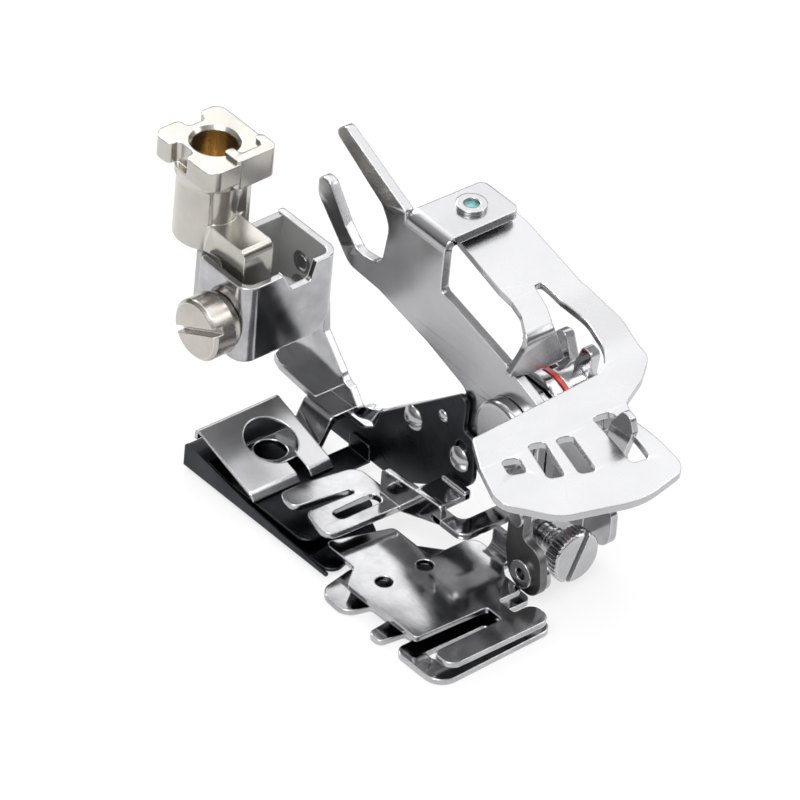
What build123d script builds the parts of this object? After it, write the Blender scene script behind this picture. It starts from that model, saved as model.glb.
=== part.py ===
from build123d import *
import os
from math import acos, cos, sin, tan, radians, hypot

os.makedirs("parts", exist_ok=True)

# Ruffler presser foot, in millimetres.
# X is the user's right, -Y the front, Z up; the origin is the mouth of the presser-bar bore.

# Shank
bore_r = 2.65
mouth_r = 3.1
mouth_depth = 0.45
lug_w = 9.8
lug_d = 10.6
lug_t = 2.7
lug_corner_r = 1.6
rim_h = 1.0
rim_wall = 1.3
neck_r = 3.85
neck_bottom_z = -12.6
neck_flat_x = 2.9
leg_w = 5.6
leg_back_y = -5.6
leg_front_y = -10.8
leg_top_z = -10.2
leg_bottom_z = -21.4

# Mount bracket, a folded cup that clamps on the leg
cup_left_x = -4.1
cup_right_x = 9.95
cup_front_y = -11.9
cup_back_y = -2.7
cup_top_z = -12.7
cup_bottom_z = -23.0
cup_t = 0.9
cup_corner_r = 2.0
leg_gap = 0.05

# Clamp screw
clamp_head_r = 3.8
clamp_head_len = 4.0
clamp_thread_r = 1.7
clamp_z = -18.6
slot_w = 0.9
slot_depth = 1.2

# Main pivot, along X
pivot_y = -42.4
pivot_z = -19.3
shaft_r = 2.0
shaft_fit = 0.05
pivot_head_r = 4.3
pivot_head_t = 1.7

# Sheets stacked along X at the pivot
arm_x = 10.1
arm_t = 1.2
sheet_gap = 0.15
carrier_t = 0.8
frame_t = 1.0
frame_rear_x = cup_right_x
frame_gap = 0.35
cheek_t = 1.0

# Ratchet wheel and cam drum
drum_gap = 0.25
drum_len = 4.9
drum_r = 6.0
star_gap = 0.12
star_t = 1.3
star_tip_r = 9.3
star_root_r = 5.9
tooth_count = 12
notch_count = 2
ring_t = 0.6

# Fork arm
prong_gap = 4.3
arm_hub_r = 8.4
tab_top_z = -0.9
tab_right_x = 21.3
tab_back_y = -22.0
tab_front_y = -28.9

# Lever rivet and adjusting lever
rivet_x = 16.9
rivet_y = -25.4
rivet_r = 1.15
rivet_head_r = 1.85
rivet_head_t = 0.55
rivet_bore_r = 0.95
lever_t = 0.9
lever_fit = 0.1
strip_slope = 13.0
strip_end_y = -36.4
strip_start_y = -25.4
ramp_end_y = -48.0
plate_z = -9.9
plate_slope = 3.0
tongue_fit = 0.15
tongue_left_x = 11.5
tongue_right_x = 18.4
tongue_roll_r = 1.6

# Blade carrier with the finger that stands in the lever's slots
finger_tip_z = -6.6
carrier_hub_r = 4.6

# Bed sheets
bed_z = -38.9
comb_t = 0.7
guide_gap = 1.2
guide_t = 0.7
spacer_x = 6.0
spacer_back_y = -42.0
spacer_front_y = -48.0
spacer_r = 1.2
guide_z = bed_z + comb_t + guide_gap
separator_lift = 0.9
separator_z = bed_z + separator_lift
separator_t = 0.4
blade_gap = 0.8
blade_z = separator_z + blade_gap
blade_t = 0.3
foot_t = 0.4
foot_left_x = -7.1
foot_right_x = 4.8
foot_back_y = -8.7
foot_back_z = -32.7
foot_slope = 17.5
foot_front_y = -18.6
needle_y = -13.6
needle_hole_r = 3.2
needle_inner_r = 1.95
needle_slot_w = 1.7
edge_guide_gap = 1.3
edge_guide_z = guide_z + guide_t + edge_guide_gap
edge_guide_t = 0.8

# Ruffling blade strip
strip_x = 9.25
strip_t = 0.6
strip_low_z = -36.9
strip_high_z = -33.4
strip_back_y = -11.2
blade_back_y = -15.2
drive_y = -35.5
drive_z = -27.2
drive_r = 0.8
drive_head_r = 1.7
drive_head_h = 0.8
drive_side_fit = 0.12
drive_down = 1.7
drive_up = 2.6

# Front link and adjusting screw
link_x = 8.6
link_t = 1.0
link_rivet_y = -48.4
link_rivet_z = -35.1
link_top_y = -46.6
link_top_z = -28.2
ear_gap = 0.15
ear_t = 0.8
screw_x = 15.1
screw_z = -34.8
screw_face_y = -50.2
screw_head_r = 3.3
screw_head_t = 2.2
screw_thread_r = 1.35
screw_len = 8.2
knurl_count = 36
lug_y = -45.0
lug_web_t = 1.0
leg_rear_y = -41.8

# Cross arm of the frame, under the foot plate
cross_t = 0.8
cross_top_z = -32.3
cross_low_z = -36.5
cross_back_y = -11.4
cross_front_y = -16.3
frame_bed_gap = 0.9
frame_low_z = bed_z + comb_t + frame_bed_gap

# Places worked out from the sizes above
carrier_x = arm_x + arm_t + sheet_gap
frame_x = carrier_x + carrier_t + frame_gap
drum_x = frame_x + frame_t + drum_gap
star_x = drum_x + drum_len + star_gap
cheek_x = star_x + star_t + drum_gap
shaft_end_x = cheek_x + cheek_t
tab_t = arm_t
tail_r = hypot(drive_y - pivot_y, drive_z - pivot_z) - drive_r - 0.25
lever_top_z = tab_top_z - tab_t - lever_fit


def corner_limit(before, corner, after):
    """The largest radius that the two runs beside a corner leave room for."""
    run_a = (before[0] - corner[0], before[1] - corner[1])
    run_b = (after[0] - corner[0], after[1] - corner[1])
    len_a = hypot(*run_a)
    len_b = hypot(*run_b)
    cosine = (run_a[0] * run_b[0] + run_a[1] * run_b[1]) / (len_a * len_b)
    half = acos(max(-1.0, min(1.0, cosine))) / 2
    return 0.48 * min(len_a, len_b) * tan(half)


def outline(*corners):
    """A flat face from corners written as (u, v) or (u, v, radius)."""
    points = [(corner[0], corner[1]) for corner in corners]
    radii = []
    for i, corner in enumerate(corners):
        wanted = corner[2] if len(corner) > 2 else 0
        limit = corner_limit(points[i - 1], points[i], points[(i + 1) % len(points)])
        radii.append(min(wanted, limit))
    return make_face(FilletPolyline(*points, radius=radii, close=True))


def side_sheet(x, thickness, *corners):
    """A sheet across X, its outline given in (y, z)."""
    return extrude(Plane.YZ.offset(x) * outline(*corners), amount=thickness)


def flat_sheet(z, thickness, *corners):
    """A level sheet, its outline given in (x, y)."""
    return extrude(Plane.XY.offset(z) * outline(*corners), amount=thickness)


def front_sheet(y_front, y_back, *corners):
    """A block seen from the front, its outline given in (x, z)."""
    return extrude(Plane.XZ.offset(-y_back) * outline(*corners), amount=y_back - y_front)


def rod(x0, x1, y, z, radius):
    """A cylinder along X."""
    return Plane.YZ.offset(x0) * Pos(y, z) * extrude(Circle(radius), amount=x1 - x0)


def post(x, y, z0, z1, radius):
    """A cylinder along Z."""
    return Plane.XY.offset(z0) * Pos(x, y) * extrude(Circle(radius), amount=z1 - z0)


def rod_y(y0, y1, x, z, radius):
    """A cylinder along Y, from the back y0 to the front y1."""
    return Plane.XZ.offset(-y0) * Pos(x, z) * extrude(Circle(radius), amount=y0 - y1)


def dome(x, y, z, radius, height):
    """A low domed rivet head that bulges towards -X from x."""
    ball_r = (radius ** 2 + height ** 2) / (2 * height)
    ball = Pos(x - height + ball_r, y, z) * Sphere(ball_r)
    return ball & rod(x - height, x, y, z, radius)


def polar(y, z, radius, degrees):
    """A point in (y, z) at an angle that turns up from +Y."""
    return (y + radius * cos(radians(degrees)), z + radius * sin(radians(degrees)))


def make_shank():
    w = lug_w / 2
    d = lug_d / 2
    r = lug_corner_r
    lug = flat_sheet(-lug_t, lug_t, (-w, -d, r), (w, -d, r), (w, d, r), (1.9, d, 0.9),
                     (1.9, d - 1.5, 0.7), (-0.9, d - 1.5, 0.7), (-0.9, d, 0.9), (-w, d, r),
                     (-w, 2.2, 0.9), (-w + 1.4, 2.2, 0.6), (-w + 1.4, -0.6, 0.6), (-w, -0.6, 0.9))
    rim = flat_sheet(0, rim_h, (w, 1.4, 0.5), (w, -d, r), (-1.6, -d, 0.5), (-1.6, -d + rim_wall, 0.5),
                     (w - rim_wall - 0.3, -d + rim_wall, 1.6), (w - rim_wall, 1.4, 0.5))
    horn_a = flat_sheet(0, rim_h + 0.9, (w - 1.6, 1.4, 0.4), (w - 1.6, -0.4, 0.4), (w, -0.4, 0.4), (w, 1.4, 0.4))
    horn_b = flat_sheet(0, rim_h + 0.9, (-1.6, -d, 0.4), (0.1, -d, 0.4), (0.1, -d + 1.6, 0.4), (-1.6, -d + 1.6, 0.4))
    neck_h = -lug_t - neck_bottom_z
    flare = loft([Plane.XY.offset(-lug_t) * Circle(neck_r + 0.75),
                  Plane.XY.offset(-lug_t - 2.0) * Circle(neck_r)])
    neck = post(0, 0, neck_bottom_z, -lug_t, neck_r)
    side_cut = Pos(neck_flat_x + 3, 0, neck_bottom_z + neck_h / 2 - 1.2) * Box(6, 12, neck_h - 2.4)
    neck = neck - side_cut
    elbow = side_sheet(-leg_w / 2, leg_w, (2.6, neck_bottom_z + 3.4), (-3.4, neck_bottom_z + 3.4),
                       (leg_front_y, leg_top_z, 1.4), (leg_front_y, neck_bottom_z - 2),
                       (leg_back_y, neck_bottom_z - 2), (leg_back_y, neck_bottom_z, 0.8), (2.6, neck_bottom_z))
    leg = flat_sheet(leg_bottom_z, neck_bottom_z - leg_bottom_z,
                     (-leg_w / 2, leg_back_y, 0.5), (leg_w / 2, leg_back_y, 0.5),
                     (leg_w / 2, leg_front_y, 2.2), (-leg_w / 2, leg_front_y, 2.2))
    bore = post(0, 0, -9.5, rim_h, bore_r)
    mouth = Pos(0, 0, -mouth_depth / 2) * Cone(bore_r, mouth_r, mouth_depth)
    return (lug + rim + horn_a + horn_b + flare + neck + elbow + leg) - bore - mouth


def make_clamp_screw():
    y = (leg_back_y + leg_front_y) / 2
    head = rod(cup_left_x - clamp_head_len - 0.1, cup_left_x - 0.1, y, clamp_z, clamp_head_r)
    head = chamfer(head.edges().filter_by(GeomType.CIRCLE), 0.4)
    thread = rod(cup_left_x - 0.1, -leg_w / 2 - 0.1, y, clamp_z, clamp_thread_r)
    slot = Pos(cup_left_x - 0.1 - clamp_head_len, y, clamp_z) * Rot(12, 0, 0) * Box(
        2 * slot_depth, 3 * clamp_head_r, slot_w)
    return head + thread - slot


def make_mount_bracket():
    left, right, front, back = cup_left_x, cup_right_x, cup_front_y, cup_back_y
    outer = flat_sheet(cup_bottom_z, cup_top_z - cup_bottom_z, (left, back, 0.3), (left, front, cup_corner_r),
                       (right, front, cup_corner_r), (right, back + 1.2, 0.3), (right - cup_t, back + 1.2, 0.3),
                       (right - cup_t, back, 0.3))
    inner_r = cup_corner_r - cup_t
    inner = flat_sheet(cup_bottom_z + cup_t, 20, (left + cup_t, back + 5), (left + cup_t, front + cup_t, inner_r),
                       (right - cup_t, front + cup_t, inner_r), (right - cup_t, back + 5))
    front_notch = front_sheet(front - 1, front + 2.5, (-0.2, cup_top_z + 1), (0.8, cup_top_z - 0.8, 0.5),
                              (1.6, cup_top_z - 2.4, 0.6), (4.6, cup_top_z - 2.4, 0.8),
                              (5.6, cup_top_z + 1))
    low_corner = front_sheet(front - 1, back + 3, (right - 3.2, cup_bottom_z - 0.1),
                             (right - 0.8, cup_bottom_z + 2.2, 1.2), (right + 0.1, cup_bottom_z + 4.6),
                             (right + 0.1, cup_bottom_z - 0.1))
    screw_hole = rod(left - 1, left + 2, (leg_back_y + leg_front_y) / 2, clamp_z, clamp_thread_r + shaft_fit)
    return outer - inner - front_notch - low_corner - screw_hole - bracket_rivet_shape(0.0)


def make_frame():
    hub_r = 4.9
    side = outline(
        (-2.2, -15.0, 1.0), (-10.6, -15.0, 1.0), (-10.8, -27.0, 3.0), (-13.2, -31.6, 2.0),
        (-18.8, -32.0, 2.0), (-31.4, -22.2, 3.0), (pivot_y + 5.4, pivot_z + hub_r, 2.5),
        (pivot_y - hub_r, pivot_z + hub_r, 4.4), (pivot_y - hub_r, -25.2, 2.0), (link_top_y - 1.8, -26.8, 1.0),
        (link_top_y - 1.8, link_top_z - 1.9, 1.2), (lug_y, link_top_z - 1.9, 0.5), (lug_y, frame_low_z, 1.0),
        (leg_rear_y, frame_low_z, 1.0), (leg_rear_y, -29.8, 1.5), (-34.5, -29.4, 3.0), (-24.0, -36.7, 2.0), (-19.0, -36.7, 1.0),
        (-18.5, cross_top_z - cross_t, 0.8), (-2.2, cross_top_z - cross_t, 3.0))
    side_block = Plane.YZ.offset(0) * side
    side_block = extrude(side_block, amount=shaft_end_x)
    rear, front = frame_rear_x, frame_x
    plan = flat_sheet(-45, 40, (rear, 0), (rear, -17.5, 1.5), (front, -20.2, 1.5), (front, -60),
                      (front + frame_t, -60), (front + frame_t, -20.0, 1.5), (rear + frame_t, -17.3, 1.5),
                      (rear + frame_t, 0))
    plate = side_block & plan
    top, low, t = cross_top_z, cross_low_z, cross_t
    cross = front_sheet(cross_front_y, cross_back_y, (rear + frame_t, top - t), (rear + frame_t, top),
                        (6.6, top, 0.8), (4.9, low + t, 0.8), (-3.6, low + t), (-3.6, low),
                        (5.4, low, 1.2), (7.1, top - t, 1.2))
    cross = cross - post(0, needle_y, -40, -30, needle_inner_r)
    web = front_sheet(lug_y, lug_y + lug_web_t, (front, -29.8), (cheek_x + cheek_t, -29.8, 0.4),
                      (cheek_x + cheek_t, frame_low_z, 1.0), (front, frame_low_z))
    cheek = side_sheet(cheek_x, cheek_t, (pivot_y + 4.0, pivot_z + 4.0, 3.9), (pivot_y - 4.0, pivot_z + 4.0, 3.9),
                       (pivot_y - 4.4, -29.0, 2.0), (-49.6, -31.5, 1.5), (-49.6, -36.6, 2.2),
                       (lug_y + lug_web_t, -36.6, 0.4), (pivot_y + 4.0, -27.0, 2.0))
    shaft_hole = rod(front - 1, cheek_x + cheek_t + 1, pivot_y, pivot_z, shaft_r)
    screw_hole = rod_y(lug_y + 3, lug_y - 1, screw_x, screw_z, screw_thread_r + shaft_fit)
    top_hole = rod(front - 1, front + 2, link_top_y, link_top_z, 0.9)
    rivet_holes = bracket_rivet_shape(0.0)
    return plate + cross + web + cheek - shaft_hole - screw_hole - top_hole - rivet_holes


def bracket_rivet_shape(fit):
    """Two rivets that hold the mount bracket to the side plate."""
    shape = None
    for y, z in ((-6.4, -17.2), (-6.4, -20.6)):
        pin = rod(cup_right_x - cup_t, frame_rear_x + frame_t, y, z, 0.9 + fit)
        shape = pin if shape is None else shape + pin
    return shape


def make_bracket_rivets():
    rivets = bracket_rivet_shape(0.0)
    for y, z in ((-6.4, -17.2), (-6.4, -20.6)):
        rivets = rivets + rod(cup_right_x - cup_t - 0.5, cup_right_x - cup_t, y, z, 1.5)
        tail = rod(frame_rear_x + frame_t, frame_rear_x + frame_t + 0.45, y, z, 1.5)
        rivets = rivets + tail
    return rivets


def foot_z(y):
    """Height of the foot plate's top at y."""
    return foot_back_z + tan(radians(foot_slope)) * (y - foot_back_y)


def make_foot_plate():
    y0, y1 = foot_back_y, foot_front_y
    t = foot_t
    toe_z = foot_z(y1)
    profile = side_sheet(foot_left_x, foot_right_x - foot_left_x,
                         (y0 + 0.3, foot_z(y0) - 1.5), (y0 + 0.3, foot_z(y0), 0.8), (y1, toe_z, 1.1),
                         (y1 - 0.9, toe_z - 0.9, 0.5), (y1 - 0.3, toe_z - 1.0),
                         (y1 - 0.35, toe_z - 0.75, 0.2), (y1 + 0.15, toe_z - t, 0.7),
                         (y0 - 0.1, foot_z(y0) - t, 0.4), (y0 - 0.1, foot_z(y0) - 1.5))
    hole = post(0, needle_y, -40, -30, needle_hole_r)
    slot = flat_sheet(-40, 10, (-0.2, needle_y - 1), (needle_slot_w - 0.2, needle_y - 1),
                      (needle_slot_w - 0.2, y1 - 3), (-0.2, y1 - 3))
    return profile - hole - slot


def make_separator_blade():
    z, t = separator_z, separator_t
    left, right = foot_left_x - 0.5, 6.0
    sheet = flat_sheet(z - t, t, (left, -7.4, 0.6), (right, -7.4, 0.6), (right, -21.5, 1.0), (2.2, -30.5, 2.0),
                       (left + 0.6, -33.5, 1.5))
    back = side_sheet(left, foot_right_x - left, (-7.4, z - t), (-7.4, z + 2.7, 0.5), (-11.2, z + 2.7 - 0.5, 0.3),
                      (-11.2, z + 2.35 - 0.5), (-7.8, z + 2.35, 0.3), (-7.8, z - t))
    edge = side_sheet(left, t, (-7.4, z - t), (-7.4, z + 2.7, 0.4), (-11.2, z + 2.2, 0.4), (-20.0, z + 0.8, 0.5),
                      (-33.0, z, 0.0), (-33.0, z - t))
    return sheet + back + edge


def make_blade_strip():
    """The blued carrier strip with its lobe and link end, in one sheet."""
    x, t = strip_x, strip_t
    low, high = strip_low_z, strip_high_z
    strip = side_sheet(x, t, (strip_back_y, high, 1.6), (strip_back_y, low, 1.2), (-25.5, low, 3.0),
                       (-38.0, -29.8, 2.5), (-37.6, -23.6, 1.7), (-34.0, -23.4, 0.6), (-34.0, -20.8, 1.6),
                       (-30.2, -21.2, 2.2), (-23.9, -24.6, 2.6), (-20.6, -32.2, 2.6), (-18.6, high, 1.5))
    half = drive_r + drive_side_fit
    low, high = drive_z - drive_down, drive_z + drive_up
    slot = side_sheet(x - 1, t + 2, (drive_y - half, low, half), (drive_y + half, low, half),
                      (drive_y + half, high, half), (drive_y - half, high, half))
    return strip - slot


def make_ruffling_blade():
    z, t = blade_z, blade_t
    foot_side = flat_sheet(z, t, (foot_left_x + 0.3, blade_back_y, 0.2), (4.0, blade_back_y, 0.2), (5.2, -17.0, 0.8),
                           (strip_x, -17.0), (strip_x, -20.6), (5.6, -20.6, 1.2), (4.2, -27.6, 1.5),
                           (foot_left_x + 0.3, -28.4, 1.5))
    teeth = None
    pitch = 1.0
    count = 10
    for i in range(count):
        cx = foot_left_x + 0.9 + i * pitch
        tooth = flat_sheet(z - 0.5, 2.0, (cx - 0.28, blade_back_y + 0.5), (cx + 0.28, blade_back_y + 0.5),
                           (cx, blade_back_y - 0.75))
        teeth = tooth if teeth is None else teeth + tooth
    flange = side_sheet(strip_x - 0.3, 0.3, (-17.0, z), (-20.6, z), (-20.6, z + 2.4, 0.6), (-17.0, z + 2.4, 0.6))
    return foot_side - teeth + flange


def make_blade_rivets():
    """Rivets of the blade strip, each a domed head with its pin through the sheet."""
    shape = None
    for y, z, r, h in ((-27.2, -26.6, 1.65, 0.8), (-32.1, -23.2, 0.85, 0.35)):
        head = dome(strip_x, y, z, r, h)
        shape = head if shape is None else shape + head
    return shape


def make_edge_guide():
    z, t = edge_guide_z, edge_guide_t
    plate = flat_sheet(z, t, (4.9, -23.2, 1.8), (-2.6, -22.0, 1.4), (-6.0, -22.0, 1.2), (-6.0, -25.0, 1.2),
                       (1.6, -26.0, 0.4), (1.6, -26.9, 0.4), (-5.6, -26.4, 1.2), (-6.4, -31.4, 1.4),
                       (4.9, -31.8, 0.8))
    slot = flat_sheet(z - 1, 3, (-3.2, -28.3, 0.6), (2.2, -28.3, 0.6), (2.2, -29.7, 0.6), (-3.2, -29.7, 0.6))
    wall = side_sheet(4.9 - 0.8, 0.8, (-28.0, z, 0.0), (-38.6, z, 0.0), (-38.6, z + 3.9, 0.6), (-31.6, z + 3.9, 0.6),
                      (-29.0, z + 1.6, 0.6))
    foot = flat_sheet(guide_z + 0.0, z + t - guide_z, (4.1, -31.6), (4.9, -31.6), (4.9, -38.6), (4.1, -38.6))
    top = flat_sheet(z + 3.1, 0.8, (4.1, -33.2, 0.3), (9.0, -33.2, 0.3), (9.0, -37.9, 0.3), (4.1, -37.9, 0.3))
    lip = side_sheet(8.2, 0.8, (-33.2, z + 3.1), (-37.9, z + 3.1), (-37.9, z + 4.9, 0.3), (-33.2, z + 4.9, 0.3))
    return plate - slot + wall + foot + top + lip


def make_guide_plate():
    z, t = guide_z, guide_t
    plate = flat_sheet(z, t, (-5.4, -29.9, 0.8), (2.9, -32.4, 0.8), (2.9, -38.9, 0.6), (9.4, -38.9, 1.5),
                       (9.4, -43.9, 1.5), (7.6, -46.5, 1.0), (7.6, -49.6, 0.6), (4.0, -49.6, 0.3),
                       (4.0, -52.3, 0.3), (6.9, -52.3, 1.3), (6.9, -55.6, 1.5), (-8.3, -55.8, 1.5),
                       (-8.3, -52.7, 0.8), (2.1, -52.5, 0.5), (2.1, -49.8, 0.5), (-8.2, -49.6, 0.6),
                       (-8.2, -37.4, 1.2), (-5.5, -35.4, 1.2))
    for x, y in ((-4.5, -39.5), (1.3, -39.8)):
        plate = plate - post(x, y, z - 1, z + 2, 1.05)
    ear_x = link_x + link_t + ear_gap
    ear_back_x = ear_x + ear_t
    ear_top_z = link_rivet_z + 1.7
    bend_front_y = -45.0
    bend = front_sheet(bend_front_y, -41.5, (6.6, z), (ear_back_x, z, 3.0), (ear_back_x, ear_top_z),
                       (ear_x, ear_top_z), (ear_x, z + t, 2.2), (6.6, z + t))
    ear = side_sheet(ear_x, ear_t, (-41.5, ear_top_z - 1.0), (-41.5, ear_top_z, 1.2), (-51.0, ear_top_z, 2.4),
                     (-51.0, link_rivet_z - 2.5, 2.4), (bend_front_y, link_rivet_z - 2.5, 2.0),
                     (bend_front_y, ear_top_z - 1.0))
    hole = rod(ear_x - 1, ear_back_x + 1, link_rivet_y, link_rivet_z, 1.1)
    return plate + bend + ear - hole


def make_comb_plate():
    z, t = bed_z, comb_t
    body = flat_sheet(z, t, (3.5, -33.5, 1.0), (9.0, -39.5, 1.0), (9.0, -50.5, 1.0), (3.2, -50.5, 0.6),
                      (3.2, -53.4, 0.6), (8.6, -53.4, 1.4), (8.6, -56.9, 1.6), (-11.2, -57.4, 2.4),
                      (-11.2, -50.4, 2.4), (-6.9, -50.4, 1.0), (-6.9, -46.4, 0.5), (-9.4, -46.0, 0.8),
                      (-9.4, -43.9, 0.8), (-6.9, -43.5, 0.5), (-6.9, -40.4, 0.5), (-10.3, -39.6, 1.4),
                      (-9.9, -34.8, 1.6), (-5.0, -33.8, 1.5))
    slot = flat_sheet(z - 1, 3, (-7.4, -53.4, 0.4), (1.4, -53.4, 0.4), (1.4, -51.9, 0.4), (-7.4, -51.9, 0.4))
    return body - slot


def make_guide_spacers():
    """Two spacers that hold the guide plate above the comb plate."""
    z = bed_z + comb_t
    back = post(spacer_x, spacer_back_y, z, z + guide_gap, spacer_r)
    return back + post(spacer_x, spacer_front_y, z, z + guide_gap, spacer_r)


def make_front_link():
    link = side_sheet(link_x, link_t, (link_top_y + 1.3, link_top_z + 1.3, 1.2), (link_top_y - 1.3, link_top_z + 1.3, 1.2),
                      (-47.7, -30.7, 1.0), (-51.0, -31.2, 2.2), (-51.7, -37.6, 3.0), (-46.1, -37.6, 3.0),
                      (-45.0, -33.0, 1.5))
    link = link - rod(link_x - 1, link_x + 2, link_rivet_y, link_rivet_z, 1.1)
    return link - rod(link_x - 1, link_x + 2, link_top_y, link_top_z, 0.9)


def make_link_rivets():
    """The hollow rivet through the guide's ear and the small rivet that ties the link to the frame."""
    ear_back_x = link_x + link_t + ear_gap + ear_t
    low = rod(link_x, ear_back_x, link_rivet_y, link_rivet_z, 1.1)
    low = low + rod(link_x - 0.5, link_x, link_rivet_y, link_rivet_z, 1.75)
    low = low + rod(ear_back_x, ear_back_x + 0.5, link_rivet_y, link_rivet_z, 1.75)
    low = low - rod(link_x - 2.0, link_x + 1.2, link_rivet_y, link_rivet_z, 0.75)
    top = rod(link_x, frame_x + frame_t, link_top_y, link_top_z, 0.9)
    top = top + rod(link_x - 0.4, link_x, link_top_y, link_top_z, 1.2)
    return low + top


def make_link_spacer():
    x0, x1 = link_x + link_t, frame_x
    return rod(x0, x1, link_top_y, link_top_z, 1.3) - rod(x0 - 1, x1 + 1, link_top_y, link_top_z, 0.9)


def make_pivot_shaft():
    head = rod(arm_x - 0.1 - pivot_head_t, arm_x - 0.1, pivot_y, pivot_z, pivot_head_r)
    head = fillet(head.edges().filter_by(GeomType.CIRCLE).sort_by(Axis.X)[0], 0.7)
    return head + rod(arm_x - 0.1, shaft_end_x, pivot_y, pivot_z, shaft_r)


def make_pivot_nut():
    nut = Plane.YZ.offset(shaft_end_x) * Pos(pivot_y, pivot_z) * extrude(RegularPolygon(3.2, 6), amount=1.4)
    bore = rod(shaft_end_x - 1, shaft_end_x + 0.8, pivot_y, pivot_z, shaft_r)
    return nut - bore + rod(shaft_end_x, shaft_end_x + 0.8, pivot_y, pivot_z, shaft_r - 0.3)


def make_fork_arm():
    x, t = arm_x, arm_t
    body = side_sheet(x, t, (-9.4, 3.6, 0.9), (-11.0, 5.2, 1.1), (-21.9, tab_top_z, 1.0), (tab_front_y, tab_top_z, 0.2),
                      (-28.5, -7.6, 0.8), (pivot_y + 3.5, pivot_z + arm_hub_r + 0.9, 4.0),
                      (pivot_y - arm_hub_r, pivot_z + arm_hub_r - 1.2, 8.0), (pivot_y - arm_hub_r, pivot_z - 4.0, 5.0),
                      polar(pivot_y, pivot_z, 8.2, -124) + (2.5,), polar(pivot_y, pivot_z, tail_r, -56) + (2.0,),
                      polar(pivot_y, pivot_z, tail_r, -28) + (1.5,), (-34.9, -20.2, 2.0),
                      (-34.6, -18.3, 1.5), (-27.3, -15.9, 3.0), (-18.6, -14.0, 2.0), (-13.2, -13.7, 2.5),
                      (-7.2, -6.6, 1.5), (-7.6, -3.6, 1.0), (-9.2, -3.5, 0.9), (-12.0, -8.9, 2.0),
                      (-14.6, -11.2, 1.8), (-18.6, -10.6, 2.2), (-19.4, -4.6, 3.0), (-17.9, -2.4, 2.0))
    tab = flat_sheet(tab_top_z - tab_t, tab_t, (x, tab_back_y, 0.0), (tab_right_x, tab_back_y + 0.3, 1.0),
                     (tab_right_x, tab_front_y, 1.0), (x, tab_front_y, 0.0))
    shape = body + tab
    outer = shape.edges().filter_by(Axis.Y).filter_by(lambda e: abs(e.center().X - x) < 0.01
                                                      and abs(e.center().Z - tab_top_z) < 0.01)
    if outer:
        shape = fillet(outer, 0.9)
    shape = shape - rod(x - 1, x + 3, pivot_y, pivot_z, shaft_r + shaft_fit)
    return shape - post(rivet_x, rivet_y, tab_top_z - 3, tab_top_z + 1, rivet_r)


def lever_top(y):
    """Height of the lever's top face at y: level, sloping strip, steep ramp, then the wide plate."""
    knee = lever_top_z - tan(radians(strip_slope)) * (strip_start_y - strip_end_y)
    if y > strip_start_y:
        return lever_top_z
    if y > strip_end_y:
        return lever_top_z - tan(radians(strip_slope)) * (strip_start_y - y)
    if y > ramp_end_y:
        return knee + (plate_z - knee) * (strip_end_y - y) / (strip_end_y - ramp_end_y)
    return plate_z - tan(radians(plate_slope)) * (ramp_end_y - y)


def make_adjusting_lever():
    t = lever_t
    left, right = -9.0, 27.0
    rear = -20.5
    nose = -68.0
    top = [(rear, lever_top(rear), 0.0), (strip_start_y, lever_top(strip_start_y), 3.0),
           (strip_end_y, lever_top(strip_end_y), 4.0),
           (ramp_end_y, lever_top(ramp_end_y), 4.0), (nose, lever_top(nose), 0.0)]
    under = [(y, z - t, r) for y, z, r in reversed(top)]
    sheet = side_sheet(left, right - left, *(top + under))
    plan = flat_sheet(-30, 32, (rivet_x + 4.2, -21.6, 3.0), (rivet_x - 3.9, -21.6, 3.0), (13.7, -27.0, 4.0),
                      (13.6, -36.4, 3.0), (17.3, -36.6, 0.6), (18.9, -36.0, 0.7), (19.2, -38.0, 0.8),
                      (20.9, -40.4, 3.0), (21.0, -46.4, 2.2), (19.6, -49.9, 0.6), (17.0, -49.0, 1.0), (-1.2, -48.0, 0.7),
                      (-5.0, -53.6, 4.0), (-7.2, -60.6, 2.6), (-2.0, -64.2, 6.0), (8.0, -67.6, 10.0),
                      (16.4, -65.6, 1.8), (17.0, -56.0, 1.0), (18.0, -52.6, 2.5), (24.0, -50.2, 4.0), (25.6, -43.6, 5.0),
                      (22.7, -37.4, 3.0), (23.0, -28.0, 5.0))
    slots = slot_shape(-0.4, -54.3, 2.1, 2.7, 18) + slot_shape(3.3, -56.0, 2.2, 6.2, 17)
    slots = slots + slot_shape(6.9, -57.1, 2.2, 6.4, 14) + slot_shape(12.0, -58.2, 2.5, 7.6, 8)
    plate = sheet & plan
    plate = plate - slots
    shape = plate + make_tongue()
    return shape - post(rivet_x, rivet_y, -10, 2, rivet_r + shaft_fit)


def slot_shape(x, y, width, length, turn):
    """A round-ended slot that points at the lever's rivet."""
    body = extrude(RectangleRounded(width, length, min(width, length) * 0.28), amount=20)
    return Pos(x, y, -25) * Rot(0, 0, -turn) * body


def make_tongue():
    """The spring tongue that bends down to ride on the cam drum."""
    t = lever_t
    y0 = strip_end_y
    z0 = lever_top(y0 + 0.01)
    low = pivot_z + drum_r + tongue_fit
    y_end = pivot_y + 1.0
    bend_y = y_end + 0.6
    bend_z = z0 + tan(radians(strip_slope)) * (bend_y - y0)
    profile = side_sheet(8.0, 14.0, (y0 + 0.4, z0), (bend_y - 1.2, bend_z - 0.2, 2.4), (y_end - 1.2, low + 1.4, 1.6),
                         (y_end - 0.2, low, 0.0), (y_end + 0.6, low, 0.0), (y_end - 0.3, low + 1.6, 1.0),
                         (bend_y - 0.3, bend_z - 1.1, 1.6), (y0 + 0.4, z0 - t))
    front = front_sheet(-50, -30, (13.6, 0), (17.3, 0), (15.9, -6.5, 3.0), (tongue_right_x, low, 0.3),
                        (tongue_left_x, low, 0.3), (13.3, -7.4, 3.0))
    return profile & front


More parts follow.
